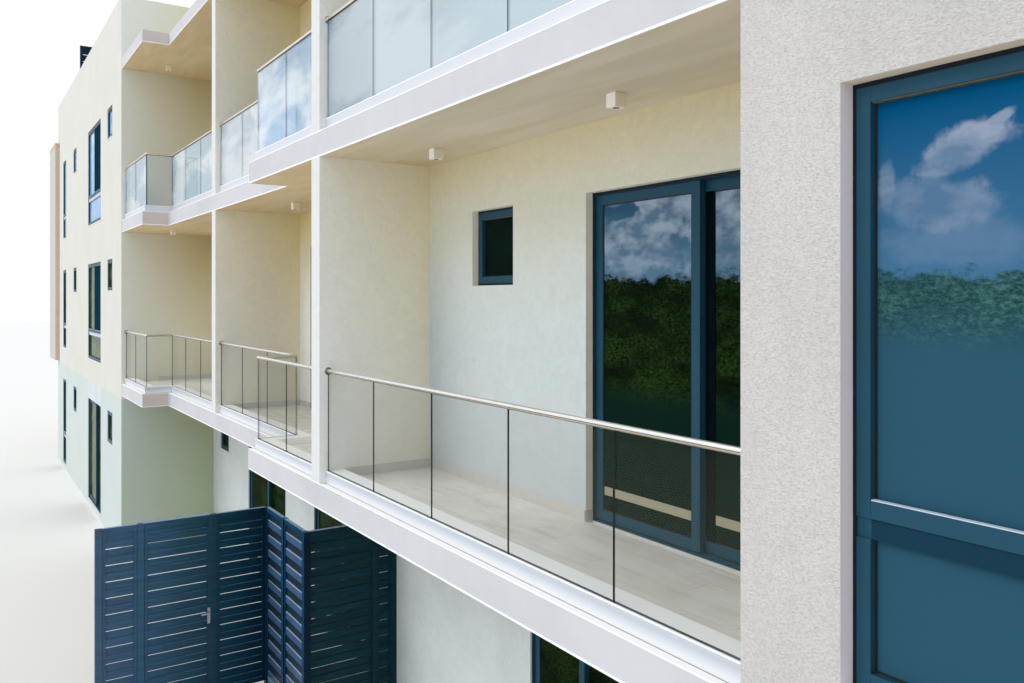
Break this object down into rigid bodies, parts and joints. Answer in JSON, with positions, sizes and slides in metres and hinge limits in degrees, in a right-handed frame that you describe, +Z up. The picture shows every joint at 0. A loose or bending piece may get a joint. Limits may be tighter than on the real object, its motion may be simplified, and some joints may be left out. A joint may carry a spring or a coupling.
{
  "type": "apartment block",
  "caption": "Three-storey apartment block with two rendered end blocks, a recessed row of glazed balconies between them and a slatted terrace screen with a gate.",
  "frame": {"origin": "on the ground, at the middle of the four outer walls", "axes": "+Z up, +X along the front from the far block to the near block, +Y from the front to the rear"},
  "size_m": [36.36, 11.85, 12.01],
  "materials": {
    "rough_render": "coarse sprayed render",
    "cream_render": "fine painted render",
    "cool_render": "fine painted render",
    "white_paint": "smooth painted concrete",
    "anthracite_paint": "satin powder coat",
    "navy_paint": "satin paint",
    "window_glass": "reflective glazing",
    "balustrade_glass": "clear polished glass",
    "channel_aluminium": "satin anodised",
    "rail_steel": "brushed",
    "light_housing": "white powder coat"
  },
  "bodies": {
    "building": {"ground_slab": "cool_render", "first_floor_slab": "white_paint", "second_floor_slab": "white_paint", "roof_slab": "white_paint", "far_front_wall": "cream_render", "far_front_piers": "cool_render", "far_end_wall": "cream_render", "far_side_wall": "cream_render", "near_front_wall": "rough_render", "near_end_wall": "rough_render", "near_side_wall": "cream_render", "rear_wall": "cream_render", "bay_ground_piers": "cool_render", "ground_lintels": "cool_render", "first_bay_walls": "cream_render", "second_bay_walls": "cream_render", "middle_parapet": "cream_render", "bay_fins": "white_paint", "gable_fins": "white_paint", "balcony_kerbs": "white_paint", "glass_channels": "channel_aluminium", "balcony_glass": "balustrade_glass", "handrails": "rail_steel", "front_window_frames": "anthracite_paint", "front_window_glass": "window_glass", "bay_window_frames": "anthracite_paint", "bay_window_glass": "window_glass", "end_window_frames": "anthracite_paint", "end_window_glass": "window_glass", "rear_window_frames": "anthracite_paint", "rear_window_glass": "window_glass", "upper_door_frames": "anthracite_paint", "upper_door_glass": "window_glass", "ground_door_frames": "anthracite_paint", "ground_fixed_leaves": "anthracite_paint", "ground_door_glass": "window_glass", "soffit_lights": "light_housing", "roof_screen": "navy_paint", "screen_posts": "navy_paint", "screen_panels": "navy_paint"},
    "door_a": {"door_leaf_a": "anthracite_paint", "door_pane_a": "window_glass"},
    "door_b": {"door_leaf_b": "anthracite_paint", "door_pane_b": "window_glass"},
    "door_c": {"door_leaf_c": "anthracite_paint", "door_pane_c": "window_glass"},
    "door_d": {"door_leaf_d": "anthracite_paint", "door_pane_d": "window_glass"},
    "gate": {"gate_leaf": "navy_paint", "gate_handle": "rail_steel"}
  },
  "joints": [
    {"name": "door_a_slide", "type": "slide", "parent": "building", "child": "door_a", "axis": [-1, 0, 0], "range_m": [0, 0.948]},
    {"name": "door_b_slide", "type": "slide", "parent": "building", "child": "door_b", "axis": [-1, 0, 0], "range_m": [0, 0.933]},
    {"name": "door_c_slide", "type": "slide", "parent": "building", "child": "door_c", "axis": [-1, 0, 0], "range_m": [0, 0.933]},
    {"name": "door_d_slide", "type": "slide", "parent": "building", "child": "door_d", "axis": [-1, 0, 0], "range_m": [0, 0.643]},
    {"name": "gate_hinge", "type": "hinge", "parent": "building", "child": "gate", "pos_m": [0.887, -6.087, 0.4], "axis": [0, 0, 1], "range_deg": [0, 95]}
  ]
}
